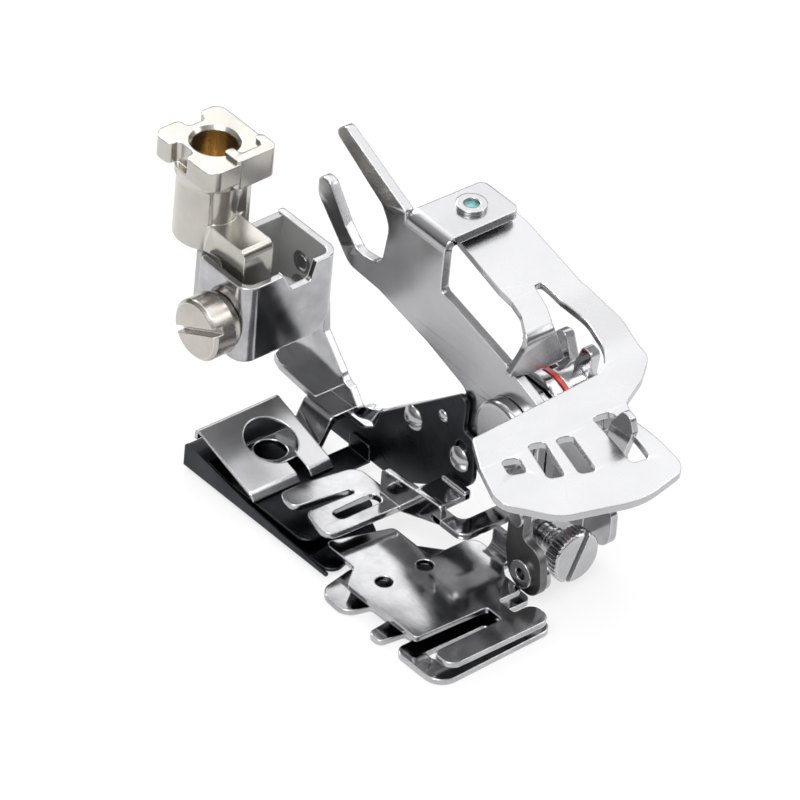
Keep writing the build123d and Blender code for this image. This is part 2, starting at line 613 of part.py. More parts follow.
def make_lever_rivet():
    top = tab_top_z
    low = tab_top_z - tab_t - lever_fit - lever_t - 1.4
    body = post(rivet_x, rivet_y, low, top, rivet_r)
    head = post(rivet_x, rivet_y, top, top + rivet_head_t, rivet_head_r)
    tail = post(rivet_x, rivet_y, low - 0.5, low, rivet_head_r)
    hollow = post(rivet_x, rivet_y, top - 1.2, top + 2, rivet_bore_r)
    return body + head + tail - hollow


def make_rivet_paint():
    return post(rivet_x, rivet_y, tab_top_z - 1.2, tab_top_z + 0.05, rivet_bore_r)


def make_blade_carrier():
    x, t = carrier_x, carrier_t
    body = side_sheet(x, t, (-33.4, -24.2, 1.6), (-36.6, -30.6, 2.0), (-40.2, -28.6, 2.0),
                      (pivot_y - 3.0, pivot_z - carrier_hub_r - 0.6, 3.0), (-56.5, -20.8, 3.0), (-60.3, -16.6, 1.5),
                      (-59.7, -12.8, 0.6), (-61.0, -8.6, 1.0), (-60.4, finger_tip_z - 0.3, 0.7), (-59.1, finger_tip_z, 0.8),
                      (-57.4, -8.8, 0.9), (-56.5, -12.6, 1.2), (-56.9, -14.6, 0.8), (-54.0, -15.4, 1.5),
                      (pivot_y - 3.0, pivot_z + carrier_hub_r, 3.0), (pivot_y + 3.6, pivot_z + carrier_hub_r, 4.0),
                      (pivot_y + 5.0, -21.6, 2.0))
    return body - rod(x - 1, x + 2, pivot_y, pivot_z, shaft_r + shaft_fit)


def make_drive_pin():
    """The headed pin by which the carrier pushes the blade strip, in the strip's slot."""
    head_x = strip_x - lever_fit
    pin = rod(head_x, carrier_x, drive_y, drive_z, drive_r)
    return pin + dome(head_x, drive_y, drive_z, drive_head_r, drive_head_h)


def drum_piece(x0, length, radius):
    return rod(x0, x0 + length, pivot_y, pivot_z, radius)


def make_cam_drum():
    plain = drum_len * 0.32
    cam_x = drum_x + plain + ring_t
    drum = drum_piece(drum_x, plain, drum_r)
    drum = chamfer(drum.edges().filter_by(GeomType.CIRCLE), 0.25)
    drum = drum + drum_piece(drum_x + plain, ring_t, drum_r - 0.5)
    cam = drum_piece(cam_x, drum_len - plain - ring_t, drum_r)
    for i in range(notch_count):
        turn = 75 + i * 360 / notch_count
        y, z = polar(pivot_y, pivot_z, drum_r, turn)
        cam = cam - Pos(cam_x + 0.4, y, z) * Rot(turn, 0, 0) * Box(1.4, 2.0, 2.4)
    bore = rod(drum_x - 1, drum_x + drum_len + 1, pivot_y, pivot_z, shaft_r + shaft_fit)
    return drum + cam - bore


def make_red_ring():
    plain = drum_len * 0.32
    ring = drum_piece(drum_x + plain, ring_t, drum_r + 0.05)
    return ring - drum_piece(drum_x + plain - 1, ring_t + 2, drum_r - 0.5)


def make_ratchet_wheel():
    x0 = drum_x + drum_len
    disc = drum_piece(x0, star_gap + star_t, star_root_r)
    for i in range(tooth_count):
        a = 104 + i * 360 / tooth_count
        half = 360 / tooth_count / 2
        inner_r = star_root_r - 0.6
        base_a = polar(pivot_y, pivot_z, inner_r, a - half)
        base_b = polar(pivot_y, pivot_z, inner_r, a + half)
        tip_a = polar(pivot_y, pivot_z, star_tip_r, a - 5.5)
        tip_b = polar(pivot_y, pivot_z, star_tip_r, a + 5.5)
        disc = disc + side_sheet(star_x, star_t, base_a, tip_a + (0.7,), tip_b + (0.7,), base_b)
    return disc - rod(x0 - 1, star_x + star_t + 1, pivot_y, pivot_z, shaft_r + shaft_fit)


def make_adjusting_screw():
    head = rod_y(screw_face_y + screw_head_t, screw_face_y, screw_x, screw_z, screw_head_r)
    head = chamfer(head.edges().filter_by(GeomType.CIRCLE), 0.25)
    groove = None
    for i in range(knurl_count):
        a = radians(i * 360 / knurl_count)
        cut = rod_y(screw_face_y + screw_head_t + 1, screw_face_y - 1, screw_x + screw_head_r * cos(a) * 1.02,
                    screw_z + screw_head_r * sin(a) * 1.02, 0.16)
        groove = cut if groove is None else groove + cut
    back = screw_face_y + screw_head_t
    thread = rod_y(back + screw_len, back, screw_x, screw_z, screw_thread_r)
    slot = Pos(screw_x, screw_face_y, screw_z) * Rot(0, 24, 0) * Box(slot_w, 2 * 0.9, 3 * screw_head_r)
    return head - groove + thread - slot


parts = {
    "shank": make_shank(),
    "clamp_screw": make_clamp_screw(),
    "mount_bracket": make_mount_bracket(),
    "bracket_rivets": make_bracket_rivets(),
    "frame": make_frame(),
    "foot_plate": make_foot_plate(),
    "separator_blade": make_separator_blade(),
    "blade_strip": make_blade_strip(),
    "ruffling_blade": make_ruffling_blade(),
    "blade_rivets": make_blade_rivets(),
    "edge_guide": make_edge_guide(),
    "guide_plate": make_guide_plate(),
    "comb_plate": make_comb_plate(),
    "guide_spacers": make_guide_spacers(),
    "front_link": make_front_link(),
    "link_rivets": make_link_rivets(),
    "link_spacer": make_link_spacer(),
    "pivot_shaft": make_pivot_shaft(),
    "pivot_nut": make_pivot_nut(),
    "fork_arm": make_fork_arm(),
    "adjusting_lever": make_adjusting_lever(),
    "lever_rivet": make_lever_rivet(),
    "rivet_paint": make_rivet_paint(),
    "blade_carrier": make_blade_carrier(),
    "drive_pin": make_drive_pin(),
    "cam_drum": make_cam_drum(),
    "red_ring": make_red_ring(),
    "ratchet_wheel": make_ratchet_wheel(),
    "adjusting_screw": make_adjusting_screw(),
}

for name, shape in parts.items():
    export_step(shape, "parts/" + name + ".step")
    print(name, round(shape.volume, 2), len(shape.solids()))
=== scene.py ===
import bmesh
import bpy
from math import cos, hypot, pi, radians, sin, tan
from mathutils import Matrix, Vector


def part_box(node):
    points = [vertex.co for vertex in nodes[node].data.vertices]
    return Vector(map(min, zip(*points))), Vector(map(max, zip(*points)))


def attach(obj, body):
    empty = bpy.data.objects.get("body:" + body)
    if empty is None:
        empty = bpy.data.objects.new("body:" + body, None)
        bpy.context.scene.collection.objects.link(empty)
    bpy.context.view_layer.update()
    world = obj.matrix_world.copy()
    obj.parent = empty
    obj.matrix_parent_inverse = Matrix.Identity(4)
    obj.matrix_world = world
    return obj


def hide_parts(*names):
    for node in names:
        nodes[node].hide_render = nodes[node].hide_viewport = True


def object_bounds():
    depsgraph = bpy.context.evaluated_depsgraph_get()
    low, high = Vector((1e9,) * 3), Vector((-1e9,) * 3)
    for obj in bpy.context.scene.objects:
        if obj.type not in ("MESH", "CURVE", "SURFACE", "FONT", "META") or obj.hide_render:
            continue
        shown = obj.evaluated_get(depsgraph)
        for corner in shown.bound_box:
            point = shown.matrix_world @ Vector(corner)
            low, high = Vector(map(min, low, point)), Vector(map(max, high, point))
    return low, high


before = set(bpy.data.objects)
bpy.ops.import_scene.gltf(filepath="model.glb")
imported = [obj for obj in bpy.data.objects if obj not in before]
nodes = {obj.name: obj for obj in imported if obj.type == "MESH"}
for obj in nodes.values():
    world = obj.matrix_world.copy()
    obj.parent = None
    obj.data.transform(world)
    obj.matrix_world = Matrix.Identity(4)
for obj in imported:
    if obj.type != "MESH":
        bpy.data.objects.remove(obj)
cad_low, cad_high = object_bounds()

# Materials: every one is made of nodes, with object coordinates in metres


class Nodes:
    """A short way to add nodes and links to one material or world."""

    def __init__(self, tree, clear=True):
        self.tree = tree
        if clear:
            tree.nodes.clear()

    def add(self, kind, **values):
        node = self.tree.nodes.new(kind)
        for name, value in values.items():
            setattr(node, name, value)
        return node

    def link(self, source, target):
        self.tree.links.new(source, target)

    def noise(self, vector, scale, detail=3.0, roughness=0.5):
        node = self.add("ShaderNodeTexNoise")
        node.inputs["Scale"].default_value = scale
        node.inputs["Detail"].default_value = detail
        node.inputs["Roughness"].default_value = roughness
        self.link(vector, node.inputs["Vector"])
        return node.outputs["Fac"]

    def remap(self, value, low, high, to_low=0.0, to_high=1.0):
        node = self.add("ShaderNodeMapRange")
        node.inputs["From Min"].default_value = low
        node.inputs["From Max"].default_value = high
        node.inputs["To Min"].default_value = to_low
        node.inputs["To Max"].default_value = to_high
        self.link(value, node.inputs["Value"])
        return node.outputs["Result"]

    def math(self, operation, a, b):
        node = self.add("ShaderNodeMath", operation=operation)
        for socket, value in zip(node.inputs, (a, b)):
            if isinstance(value, (int, float)):
                socket.default_value = value
            else:
                self.link(value, socket)
        return node.outputs[0]

    def mix(self, fac, dark, light):
        node = self.add("ShaderNodeMix", data_type="RGBA")
        self.link(fac, node.inputs["Factor"])
        for socket, value in ((node.inputs[6], dark), (node.inputs[7], light)):
            if isinstance(value, tuple):
                socket.default_value = value + (1.0,)
            else:
                self.link(value, socket)
        return node.outputs[2]


def stretched(tree, scale):
    """Object coordinates, stretched by scale along each axis."""
    coords = tree.add("ShaderNodeTexCoord")
    mapping = tree.add("ShaderNodeMapping")
    mapping.inputs["Scale"].default_value = scale
    tree.link(coords.outputs["Object"], mapping.inputs["Vector"])
    return mapping.outputs["Vector"]


grain_scale, wave_scale = 9000.0, 95.0
grain_height, wave_height = 0.00002, 0.0006
edge_round_radius = 0.00028


def metal(name, dark, light, rough_low, rough_high, grain=0.12, wave=0.10, edge=0.5,
          edge_wear_and_highlight_colour=(0.93, 0.93, 0.94), cloud_scale=170.0):
    """Plated or oxidised sheet: cloudy tone, fine grain, slow waves, and edges painted lighter: partly
    rubbed wear, partly a painted highlight along the rounded edges.
    """
    material = bpy.data.materials.new(name)
    material.use_nodes = True
    tree = Nodes(material.node_tree)
    plain = stretched(tree, (1.0, 1.0, 1.0))
    brushed = stretched(tree, (1.0, 0.12, 1.0))
    cloud = tree.noise(plain, cloud_scale, 4.0, 0.55)
    fine = tree.noise(brushed, grain_scale, 2.0, 0.6)
    slow = tree.noise(plain, wave_scale, 1.0, 0.4)
    bevel = tree.add("ShaderNodeBevel", samples=6)
    bevel.inputs["Radius"].default_value = edge_round_radius
    geometry = tree.add("ShaderNodeNewGeometry")
    facing = tree.add("ShaderNodeVectorMath", operation="DOT_PRODUCT")
    tree.link(bevel.outputs["Normal"], facing.inputs[0])
    tree.link(geometry.outputs["True Normal"], facing.inputs[1])
    # Edges where the bevel normal turns from the face get a lighter colour: partly rubbed wear, partly a
    # painted highlight
    worn_and_highlit_edges = tree.remap(facing.outputs["Value"], 0.999, 0.90)
    worn_and_highlit_edges = tree.math("MULTIPLY", worn_and_highlit_edges, edge)
    tone = tree.mix(tree.remap(cloud, 0.30, 0.70), dark, light)
    tone = tree.mix(worn_and_highlit_edges, tone, edge_wear_and_highlight_colour)
    shader = tree.add("ShaderNodeBsdfPrincipled")
    shader.inputs["Metallic"].default_value = 1.0
    tree.link(tone, shader.inputs["Base Color"])
    tree.link(tree.remap(tree.math("ADD", cloud, fine), 0.7, 1.3, rough_low, rough_high),
              shader.inputs["Roughness"])
    waves = tree.add("ShaderNodeBump")
    waves.inputs["Strength"].default_value = wave
    waves.inputs["Distance"].default_value = wave_height
    tree.link(slow, waves.inputs["Height"])
    tree.link(bevel.outputs["Normal"], waves.inputs["Normal"])
    grains = tree.add("ShaderNodeBump")
    grains.inputs["Strength"].default_value = grain
    grains.inputs["Distance"].default_value = grain_height
    tree.link(fine, grains.inputs["Height"])
    tree.link(waves.outputs["Normal"], grains.inputs["Normal"])
    tree.link(grains.outputs["Normal"], shader.inputs["Normal"])
    output = tree.add("ShaderNodeOutputMaterial")
    tree.link(shader.outputs["BSDF"], output.inputs["Surface"])
    return material


def tinted(material, inside, colour):
    """Gives the metal another colour where inside is 1, and returns its shader."""
    tree = Nodes(material.node_tree, clear=False)
    shader = next(node for node in material.node_tree.nodes if node.type == "BSDF_PRINCIPLED")
    tone = shader.inputs["Base Color"].links[0].from_socket
    tree.link(tree.mix(inside, tone, colour), shader.inputs["Base Color"])
    return shader


def bored(material, radius, colour):
    """Gives the metal inside radius of the Z axis, the wall of the bore, a colour of its own."""
    tree = Nodes(material.node_tree, clear=False)
    coords = tree.add("ShaderNodeTexCoord")
    flat = tree.add("ShaderNodeVectorMath", operation="MULTIPLY")
    flat.inputs[1].default_value = (1.0, 1.0, 0.0)
    tree.link(coords.outputs["Object"], flat.inputs[0])
    away = tree.add("ShaderNodeVectorMath", operation="LENGTH")
    tree.link(flat.outputs["Vector"], away.inputs[0])
    tinted(material, tree.math("LESS_THAN", away.outputs["Value"], radius), colour)
    return material


def box_shaded(material, low, high, colour, metallic):
    """Gives the metal between two corners of a box a matte look with less metal: painted shade that darkens
    the inside of the bracket's pocket.
    """
    tree = Nodes(material.node_tree, clear=False)
    coords = tree.add("ShaderNodeTexCoord")
    apart = tree.add("ShaderNodeSeparateXYZ")
    tree.link(coords.outputs["Object"], apart.inputs[0])
    inside = 1.0
    for place, start, end in zip(apart.outputs, low, high):
        inside = tree.math("MULTIPLY", inside, tree.math("GREATER_THAN", place, start))
        inside = tree.math("MULTIPLY", inside, tree.math("LESS_THAN", place, end))
    shader = tinted(material, inside, colour)
    tree.link(tree.remap(inside, 0.0, 1.0, 1.0, metallic), shader.inputs["Metallic"])
    return material


def paint(name, dark, light):
    """Glossy enamel with a slightly uneven flow."""
    material = bpy.data.materials.new(name)
    material.use_nodes = True
    tree = Nodes(material.node_tree)
    plain = stretched(tree, (1.0, 1.0, 1.0))
    cloud = tree.noise(plain, 900.0, 3.0, 0.5)
    shader = tree.add("ShaderNodeBsdfPrincipled")
    shader.inputs["Roughness"].default_value = 0.28
    shader.inputs["Coat Weight"].default_value = 0.4
    tree.link(tree.mix(tree.remap(cloud, 0.3, 0.7), dark, light), shader.inputs["Base Color"])
    bump = tree.add("ShaderNodeBump")
    bump.inputs["Strength"].default_value = 0.15
    bump.inputs["Distance"].default_value = 0.0001
    tree.link(cloud, bump.inputs["Height"])
    tree.link(bump.outputs["Normal"], shader.inputs["Normal"])
    output = tree.add("ShaderNodeOutputMaterial")
    tree.link(shader.outputs["BSDF"], output.inputs["Surface"])
    return material


def deep_metal(name):
    """Polished sheet that mirrors the dark and the bright parts of the room."""
    return metal(name, (0.34, 0.34, 0.35), (0.52, 0.52, 0.53), 0.08, 0.16, wave=0.22, cloud_scale=240.0)


bore_radius = 0.00268
pocket_low = (-0.0034, -0.0112, -0.026)
pocket_high = (0.0092, -0.0005, -0.01275)

bright = metal("bright_plate", (0.41, 0.41, 0.42), (0.46, 0.46, 0.47), 0.18, 0.26)
lever_plate = metal("lever_plate", (0.45, 0.45, 0.46), (0.48, 0.48, 0.49), 0.20, 0.30, wave=0.05)
deep = deep_metal("deep_plate")
# Painted shade: inside the pocket's box the bracket and its back wall get a matte, darker finish
pocket_shade_plate = box_shaded(deep_metal("pocket_shade_plate"), pocket_low, pocket_high, (0.42, 0.42, 0.42), 0.25)
chrome = metal("turned_chrome", (0.40, 0.40, 0.41), (0.56, 0.56, 0.57), 0.08, 0.15, grain=0.2, wave=0.15)
satin = metal("satin_nickel", (0.44, 0.42, 0.38), (0.56, 0.53, 0.49), 0.20, 0.30, grain=0.25)
nickel = bored(metal("cast_nickel", (0.44, 0.42, 0.39), (0.54, 0.52, 0.48), 0.16, 0.24, grain=0.2, wave=0.2),
               bore_radius, (0.80, 0.68, 0.48))
blued = metal("blued_steel", (0.020, 0.021, 0.025), (0.045, 0.047, 0.055), 0.25, 0.38, edge=0.18,
              edge_wear_and_highlight_colour=(0.35, 0.36, 0.38))
oxide = metal("dark_steel", (0.10, 0.10, 0.10), (0.20, 0.20, 0.20), 0.30, 0.42, grain=0.5, edge=0.35,
              edge_wear_and_highlight_colour=(0.55, 0.55, 0.55))
red = paint("red_enamel", (0.42, 0.02, 0.02), (0.60, 0.04, 0.035))
teal = paint("teal_enamel", (0.06, 0.24, 0.22), (0.22, 0.48, 0.45))

finishes = {
    "shank": nickel, "clamp_screw": satin, "mount_bracket": deep, "bracket_rivets": bright, "frame": deep,
    "foot_plate": bright, "separator_blade": blued, "blade_strip": blued, "ruffling_blade": blued,
    "blade_rivets": bright, "edge_guide": deep, "guide_plate": deep, "comb_plate": deep,
    "guide_spacers": bright, "front_link": oxide, "link_rivets": bright, "link_spacer": bright,
    "pivot_shaft": bright, "pivot_nut": bright, "fork_arm": bright, "adjusting_lever": lever_plate,
    "lever_rivet": bright, "rivet_paint": teal, "blade_carrier": bright, "drive_pin": bright,
    "cam_drum": chrome, "red_ring": red, "ratchet_wheel": chrome, "adjusting_screw": chrome,
}
for name, node in nodes.items():
    node.data.materials.clear()
    node.data.materials.append(finishes[name])

# Sheet pieces in millimetres: outlines of (u, v, corner radius), cut out, given a thickness and bent

MM = 0.001


def rounded(corners, steps=5):
    """The points of an outline with its corners rounded."""
    points = []
    count = len(corners)
    for i in range(count):
        here = Vector(corners[i][:2])
        run_a = Vector(corners[i - 1][:2]) - here
        run_b = Vector(corners[(i + 1) % count][:2]) - here
        wanted = corners[i][2] if len(corners[i]) > 2 else 0.0
        half = run_a.angle(run_b) / 2.0
        reach = min(wanted / max(tan(half), 1e-6), 0.48 * run_a.length, 0.48 * run_b.length)
        if reach < 0.02 or half > 1.55:
            points.append(here)
            continue
        radius = reach * tan(half)
        middle = here + (run_a.normalized() + run_b.normalized()).normalized() * (radius / sin(half))
        start = here + run_a.normalized() * reach - middle
        end = here + run_b.normalized() * reach - middle
        turn = start.angle_signed(end)
        for k in range(steps + 1):
            angle = -turn * k / steps
            points.append(middle + Vector((start.x * cos(angle) - start.y * sin(angle),
                                           start.x * sin(angle) + start.y * cos(angle))))
    return points


def cut_out(outer, holes, cuts=()):
    """A flat bmesh of an outline with holes, split along lines of constant v where it will bend."""
    curve = bpy.data.curves.new("cut_out", "CURVE")
    curve.dimensions = "2D"
    curve.fill_mode = "BOTH"
    for corners in [outer] + list(holes):
        points = rounded(corners)
        spline = curve.splines.new("POLY")
        spline.points.add(len(points) - 1)
        for point, place in zip(spline.points, points):
            point.co = (place.x, place.y, 0.0, 1.0)
        spline.use_cyclic_u = True
    holder = bpy.data.objects.new("cut_out", curve)
    mesh = bpy.data.meshes.new_from_object(holder)
    bpy.data.objects.remove(holder)
    bpy.data.curves.remove(curve)
    build = bmesh.new()
    build.from_mesh(mesh)
    bpy.data.meshes.remove(mesh)
    bmesh.ops.remove_doubles(build, verts=build.verts, dist=0.0005)
    for v in cuts:
        everything = build.verts[:] + build.edges[:] + build.faces[:]
        bmesh.ops.bisect_plane(build, geom=everything, plane_co=(0, v, 0), plane_no=(0, 1, 0), dist=0.0005)
    bmesh.ops.recalc_face_normals(build, faces=build.faces)
    if build.faces and sum(face.normal.z for face in build.faces) < 0:
        bmesh.ops.reverse_faces(build, faces=build.faces)
    return build


def sheet(name, outer, holes, place, thickness, soft=0.09, cuts=()):
    """A sheet piece: place turns a flat (u, v) and a depth below the face into the row frame."""
    build = cut_out(outer, holes, cuts)
    rim = [edge for edge in build.edges if edge.is_boundary]
    top = {vert: vert.co.copy() for vert in build.verts}
    low = {vert: build.verts.new(vert.co) for vert in list(top)}
    for face in build.faces[:]:
        build.faces.new([low[vert] for vert in reversed(face.verts)])
    for edge in rim:
        loop = edge.link_loops[0]
        a, b = loop.vert, loop.link_loop_next.vert
        build.faces.new((b, a, low[a], low[b]))
    for vert, flat in top.items():
        vert.co = Vector(place(flat.x, flat.y, 0.0)) * MM
        low[vert].co = Vector(place(flat.x, flat.y, thickness)) * MM
    bmesh.ops.recalc_face_normals(build, faces=build.faces)
    mesh = bpy.data.meshes.new(name)
    build.to_mesh(mesh)
    build.free()
    piece = bpy.data.objects.new(name, mesh)
    bpy.context.scene.collection.objects.link(piece)
    edges = piece.modifiers.new("edges", "BEVEL")
    edges.width = soft * MM
    edges.segments = 2
    edges.limit_method = "ANGLE"
    edges.angle_limit = 0.9
    for polygon in mesh.polygons:
        polygon.use_smooth = True
    mesh.set_sharp_from_angle(angle=0.7)
    return piece


def joined(name, pieces, material, body, slot_name, *replaced):
    """Joins sheet pieces into one object that rides on a body and stands for CAD nodes."""
    whole = added(name, pieces, material, body)
    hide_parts(*replaced)
    return whole


def added(name, pieces, material, body):
    """Joins sheet pieces into one object that rides on a body."""
    depsgraph = bpy.context.evaluated_depsgraph_get()
    build = bmesh.new()
    for piece in pieces:
        flat = bpy.data.meshes.new_from_object(piece.evaluated_get(depsgraph))
        build.from_mesh(flat)
        bpy.data.meshes.remove(flat)
        bpy.data.objects.remove(piece)
    mesh = bpy.data.meshes.new(name)
    build.to_mesh(mesh)
    build.free()
    mesh.set_sharp_from_angle(angle=0.7)
    mesh.materials.append(material)
    whole = bpy.data.objects.new(name, mesh)
    bpy.context.scene.collection.objects.link(whole)
    even = whole.modifiers.new("even", "WEIGHTED_NORMAL")
    even.keep_sharp = True
    even.weight = 90
    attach(whole, body)
    return whole


def bent(points, radius, steps=8):
    """A path in a plane with its corners bent round: returns where a length along it lies, and its side."""
    places = [Vector(points[0])]
    for i in range(1, len(points) - 1):
        here = Vector(points[i])
        run_a = (Vector(points[i - 1]) - here).normalized()
        run_b = (Vector(points[i + 1]) - here).normalized()
        half = run_a.angle(run_b) / 2.0
        middle = here + (run_a + run_b).normalized() * (radius / sin(half))
        start = here + run_a * (radius / tan(half)) - middle
        end = here + run_b * (radius / tan(half)) - middle
        turn = start.angle_signed(end)
        for k in range(steps + 1):
            angle = -turn * k / steps
            places.append(middle + Vector((start.x * cos(angle) - start.y * sin(angle),
                                           start.x * sin(angle) + start.y * cos(angle))))
    places.append(Vector(points[-1]))
    lengths = [0.0]
    for before, after in zip(places, places[1:]):
        lengths.append(lengths[-1] + (after - before).length)

    def at(length):
        length = max(0.0, min(length, lengths[-1]))
        i = 1
        while i < len(lengths) - 1 and lengths[i] < length:
            i += 1
        share = (length - lengths[i - 1]) / (lengths[i] - lengths[i - 1])
        along = (places[i] - places[i - 1]).normalized()
        return places[i - 1].lerp(places[i], share), Vector((along.y, -along.x))

    return at, lengths


def hole(x, y, width, length, turn, share=0.28):
    """The corners of a round-ended slot, turned by degrees."""
    a = -radians(turn)
    r = share * min(width, length)
    w, h = width / 2.0, length / 2.0
    return [(x + u * cos(a) - v * sin(a), y + u * sin(a) + v * cos(a), r)
            for u, v in ((-w, -h), (w, -h), (w, h), (-w, h))]


def circle(x, y, radius, sides=40):
    half = sides // 2
    return [(x + radius * cos(i * pi / half), y + radius * sin(i * pi / half)) for i in range(sides)]


def spread(low, high, count):
    return [low + (high - low) * i / (count - 1) for i in range(count)]


# The adjusting lever: level end under the tab, sloping strip, ramp, slotted plate and spring tongue


def eased(distance, width):
    """Zero before a bend, the distance after it, and a smooth run between."""
    if distance < -width:
        return 0.0
    if distance > width:
        return distance
    return (distance + width) ** 2 / (4.0 * width)


# Each bend: where it lies along Y, half its width, the change of slope and the lines that it is bent along
lever_bends = (
    (-25.4, 1.5, -0.231, 5), (-39.2, 1.6, -0.306, 7), (-47.6, 1.8, 0.485, 7), (-61.0, 1.5, -0.22, 5))
lever_top_z = -2.2
lever_sheet = 0.9
tongue_sheet = 0.8
window_y = -37.6


def lever_height(y):
    z = lever_top_z
    for start, width, slope, _ in lever_bends:
        z += slope * eased(start - y, width)
    return z


lever_outline = [
    (21.1, -21.6, 3.0), (13.0, -21.6, 3.0), (13.3, -27.0, 4.0), (12.8, -35.6, 2.0), (12.95, window_y),
    (16.7, window_y), (16.9, -36.9, 0.4), (17.9, -37.0, 0.5), (18.4, -39.9, 1.5), (19.9, -43.0, 4.0),
    (19.8, -46.2, 2.5), (18.6, -48.0, 1.0), (16.6, -48.9, 1.0), (-2.8, -50.0, 0.7), (-5.4, -54.6, 4.0),
    (-7.7, -60.4, 2.6), (-2.4, -65.1, 6.0), (8.0, -67.4, 12.0), (15.5, -66.0, 1.8), (14.9, -57.5, 1.5),
    (16.3, -54.4, 1.5), (20.4, -52.3, 3.0), (23.8, -49.6, 2.5), (24.1, -44.5, 4.0), (22.2, -38.8, 3.0),
    (22.4, -29.0, 5.0)]
lever_slots = [
    hole(-1.9, -56.3, 2.3, 2.7, 18), hole(1.9, -57.4, 2.2, 6.2, 17), hole(5.4, -58.4, 2.2, 6.4, 14),
    hole(11.85, -58.7, 2.7, 8.4, 8), circle(16.9, -25.4, 1.2)]
lever_cuts = []
for start, width, _, count in lever_bends:
    lever_cuts += spread(start + width, start - width, count)
lever_body = sheet("lever_body", lever_outline, lever_slots,
                   lambda x, y, depth: (x, y, lever_height(y) - depth), lever_sheet, 0.10, lever_cuts)

tongue_path = [(window_y, lever_height(window_y + 0.01)), (-42.9, -6.4), (-42.7, -12.0)]
tongue_at, tongue_lengths = bent(tongue_path, 1.5)


def tongue_place(x, length, depth):
    spot, side = tongue_at(length)
    return (x, spot.x - side.x * depth, spot.y - side.y * depth)


tongue_end = tongue_lengths[-1]
tongue_outline = [
    (12.95, 0.0), (16.7, 0.0), (16.2, 2.6, 2.0), (15.1, 5.2, 2.0), (17.3, tongue_end, 0.5),
    (13.0, tongue_end, 6.0), (8.8, tongue_end - 1.0, 0.3), (11.0, 6.6, 3.0), (11.3, 4.8, 2.0),
    (12.6, 2.4, 2.0)]
tongue = sheet("tongue", tongue_outline, [], tongue_place, tongue_sheet, 0.10,
               tongue_lengths[1:-1] + [tongue_end - 1.5])
joined("pleat_lever", [lever_body, tongue], lever_plate, "adjusting_lever", "chrome", "adjusting_lever")

# The fork arm and the tab that is bent over at its top

arm_sheet = 1.2
arm_x = 10.1
arm_top_z = -2.6
pivot_y, pivot_z = -42.4, -19.3
pivot_bore_r = 2.1

arm_outline = [
    (-8.9, 2.7, 0.9), (-10.5, 4.3, 1.1), (-21.9, -0.95, 0.4), (-22.0, -2.6), (-28.9, -2.6),
    (-28.8, -7.9, 0.8), (-40.6, -11.0, 3.0), (-47.3, -13.4, 2.0), (-47.3, -26.3, 2.5),
    (-37.1, -27.1, 2.0), (-34.1, -23.7, 1.5), (-34.9, -20.2, 2.0), (-34.6, -18.3, 1.5),
    (-27.3, -15.9, 3.0), (-18.6, -14.0, 2.0), (-13.2, -13.7, 2.5), (-7.0, -7.4, 1.5), (-6.9, -4.7, 1.1),
    (-8.8, -4.7, 1.0), (-12.0, -8.9, 2.0), (-14.6, -11.2, 1.8), (-18.6, -10.6, 2.2), (-19.4, -4.6, 3.0),
    (-17.9, -2.4, 2.0)]
arm_side = sheet("arm_side", arm_outline, [circle(pivot_y, pivot_z, pivot_bore_r)],
                 lambda y, z, depth: (arm_x + depth, y, z), arm_sheet, 0.14)
tab_at, tab_lengths = bent([(arm_x, arm_top_z), (arm_x, -0.9), (21.3, -0.9)], 1.6)


def tab_place(y, length, depth):
    spot, side = tab_at(length)
    return (spot.x + side.x * depth, y, spot.y + side.y * depth)


tab_outline = [(-22.0, 0.0), (-28.9, 0.0), (-28.9, tab_lengths[-1], 1.0), (-22.3, tab_lengths[-1], 1.0)]
tab = sheet("tab", tab_outline, [], tab_place, arm_sheet, 0.12, tab_lengths[1:-1])
joined("forked_arm", [arm_side, tab], bright, "fork_arm", "chrome", "fork_arm")

# The bed sheets and the blued strip

guide_sheet = 0.8
guide_z, guide_arm_z, guide_top_z = -34.2, -31.8, -30.3
guide_wall_x, guide_lip_x = 4.1, 8.1
comb_sheet = 0.7
comb_z = -38.2
strip_sheet = 0.6
strip_x = 9.25


def level(z):
    return lambda x, y, depth: (x, y, z - depth)


def upright(x):
    return lambda y, z, depth: (x + depth, y, z)


guide_outline = [
    (4.9, -23.2, 1.8), (-2.6, -22.0, 1.4), (-6.0, -22.0, 1.2), (-6.0, -25.0, 1.2), (1.6, -26.0, 0.4),
    (1.6, -26.9, 0.4), (-5.6, -26.4, 1.2), (-6.4, -31.4, 1.4), (4.9, -31.8, 0.8)]
guide_slot = [(-3.2, -28.0, 0.8), (3.3, -28.0, 0.8), (3.3, -29.9, 0.8), (-3.2, -29.9, 0.8)]
guide_wall = [
    (-28.2, -34.9), (-31.8, -34.9, 0.5), (-38.7, -32.5, 0.6), (-38.7, -30.0, 0.6), (-28.2, -31.0, 0.6)]
guide_top = [(4.5, -34.0, 0.2), (8.9, -34.0, 0.2), (8.9, -38.2, 0.2), (4.5, -38.2, 0.2)]
guide_lip = [(-34.0, -31.0), (-38.2, -31.0), (-38.2, -29.95, 0.3), (-34.0, -29.95, 0.3)]
guide_arm = [
    (4.1, -37.2, 0.3), (6.0, -37.2, 0.5), (6.0, -40.2, 1.2), (12.6, -40.2), (12.6, -42.6),
    (4.1, -42.6, 1.5)]
joined("bent_guide", [
    sheet("guide_plate_part", guide_outline, [guide_slot], level(guide_z), guide_sheet),
    sheet("guide_wall", guide_wall, [], upright(guide_wall_x), guide_sheet),
    sheet("guide_top", guide_top, [], level(guide_top_z), guide_sheet),
    sheet("guide_lip", guide_lip, [], upright(guide_lip_x), guide_sheet),
    sheet("guide_arm", guide_arm, [], level(guide_arm_z), guide_sheet),
], deep, "root", "chrome", "edge_guide")

